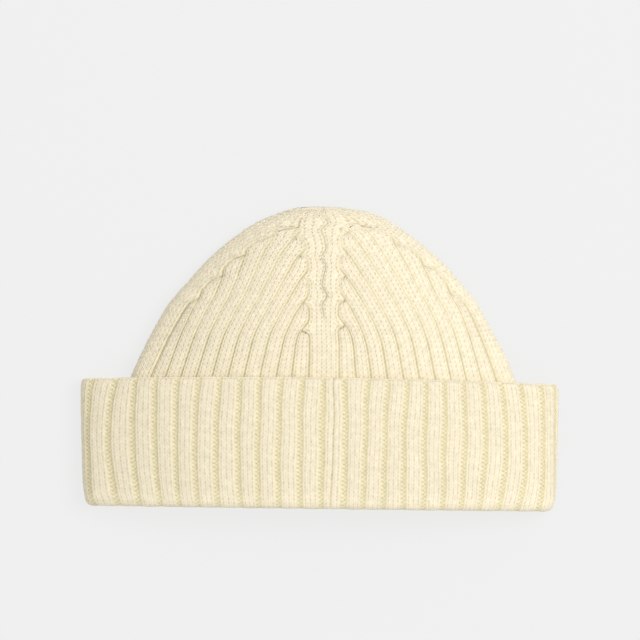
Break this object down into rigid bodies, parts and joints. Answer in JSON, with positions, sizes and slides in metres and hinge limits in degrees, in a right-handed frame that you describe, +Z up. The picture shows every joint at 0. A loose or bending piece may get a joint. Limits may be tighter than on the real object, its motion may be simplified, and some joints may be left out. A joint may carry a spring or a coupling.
{
  "type": "fisherman beanie",
  "caption": "Short rib-knit beanie lying flat on its back, with a rounded crown closed by bands of decreases and a wide turned-up cuff. It is pulled over the head.",
  "frame": {"origin": "the middle of the bounding box, on the surface that the hat lies on", "axes": "+X across the hat to the right, seen from above with its tip up the page; +Y from the mouth to the crown's tip; +Z up from the surface that it lies on"},
  "size_m": [0.238, 0.1522, 0.038],
  "materials": {
    "crown_knit": "matte cream wool rib knit",
    "cuff_knit": "matte cream wool rib knit"
  },
  "bodies": {
    "root": {"crown": "crown_knit", "cuff": "cuff_knit"}
  },
  "joints": []
}
